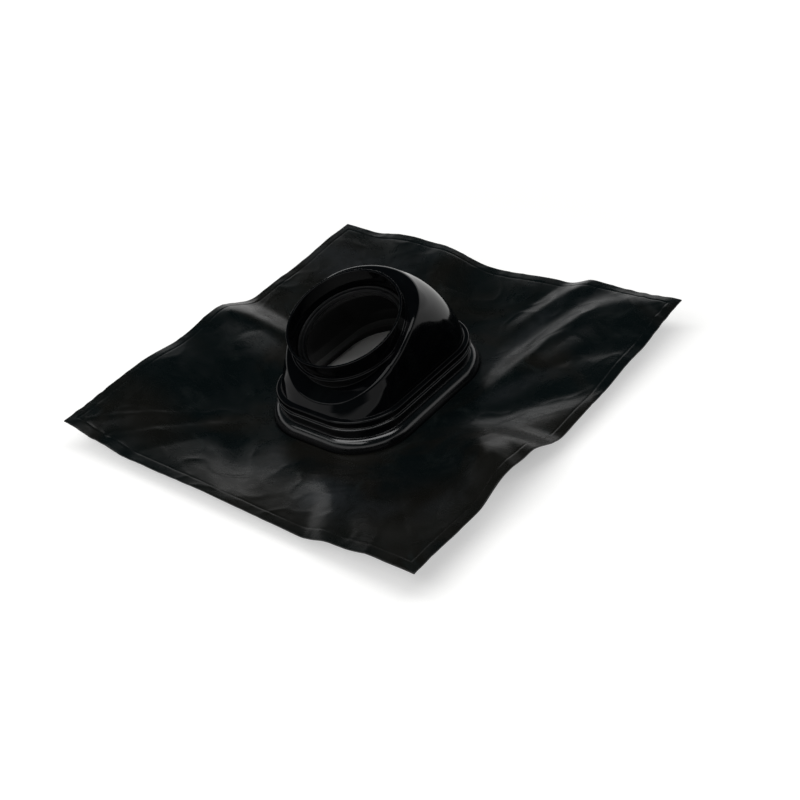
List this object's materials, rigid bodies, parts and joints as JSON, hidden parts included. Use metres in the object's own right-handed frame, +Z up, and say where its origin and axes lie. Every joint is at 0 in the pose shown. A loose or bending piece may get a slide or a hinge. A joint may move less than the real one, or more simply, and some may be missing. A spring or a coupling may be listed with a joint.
{
  "type": "pipe flashing boot",
  "caption": "Square malleable roof apron with a moulded hood that rises to a tilted round socket and seal for a vent pipe.",
  "frame": {"origin": "centre of the base ring's foot, on the plane that the ring stands on", "axes": "+Z up off the bench; the mouth faces up and towards -Y, the upper side on a pitched roof; +X across"},
  "size_m": [0.5, 0.5, 0.1401],
  "materials": {
    "apron": "glossy, wavy sheet",
    "base_ring": "glossy",
    "hood": "glossy",
    "pipe_seal": "satin"
  },
  "bodies": {
    "root": {"apron": "apron", "base_ring": "base_ring", "hood": "hood", "pipe_seal": "pipe_seal"}
  },
  "joints": []
}
